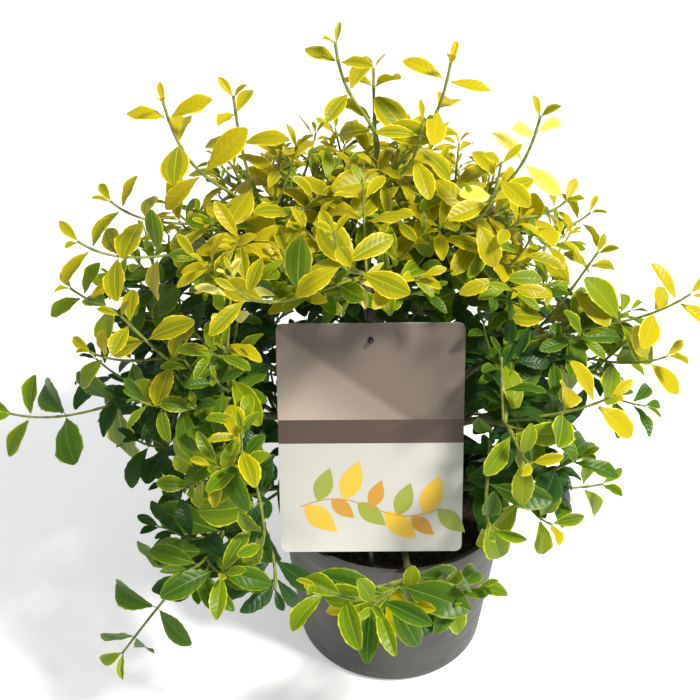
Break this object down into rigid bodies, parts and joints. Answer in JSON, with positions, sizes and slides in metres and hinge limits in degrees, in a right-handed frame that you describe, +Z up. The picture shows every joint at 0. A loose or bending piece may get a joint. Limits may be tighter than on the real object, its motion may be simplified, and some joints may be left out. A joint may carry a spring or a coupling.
{
  "type": "potted japanese spindle shrub",
  "caption": "Small bushy golden Japanese spindle, an evergreen shrub, in a round nursery pot with a plain plant label on a holder.",
  "frame": {"origin": "middle of the pot's flat underside", "axes": "+Z up; -Y is the front, the side that the label faces; +X to the right seen from the front"},
  "size_m": [0.3951, 0.3309, 0.4018],
  "materials": {
    "pot_plastic": "matte grey-taupe moulded plastic, lightly scuffed",
    "peat": "dark moist peat",
    "bark": "brown-grey bark on the stem, greener on the boughs",
    "foliage": "glossy evergreen leaves, golden on top and green below",
    "label_card": "satin printed card",
    "black_plastic": "black moulded plastic"
  },
  "bodies": {
    "root": {"pot": "pot_plastic", "soil": "peat", "trunk": "bark", "bough_01": "bark", "bough_02": "bark", "bough_03": "bark", "bough_04": "bark", "bough_05": "bark", "bough_06": "bark", "bough_07": "bark", "bough_08": "bark", "bough_09": "bark", "bough_10": "bark", "bough_11": "bark", "bough_12": "bark", "bough_13": "bark", "bough_14": "bark", "bough_15": "bark", "foliage_01": "foliage", "foliage_02": "foliage", "foliage_03": "foliage", "foliage_04": "foliage", "foliage_05": "foliage", "foliage_06": "foliage", "foliage_07": "foliage", "foliage_08": "foliage", "foliage_09": "foliage", "foliage_10": "foliage", "foliage_11": "foliage", "foliage_12": "foliage", "foliage_13": "foliage", "foliage_14": "foliage", "foliage_15": "foliage", "foliage_16": "foliage", "label_card": "label_card", "label_holder": "black_plastic"}
  },
  "joints": []
}
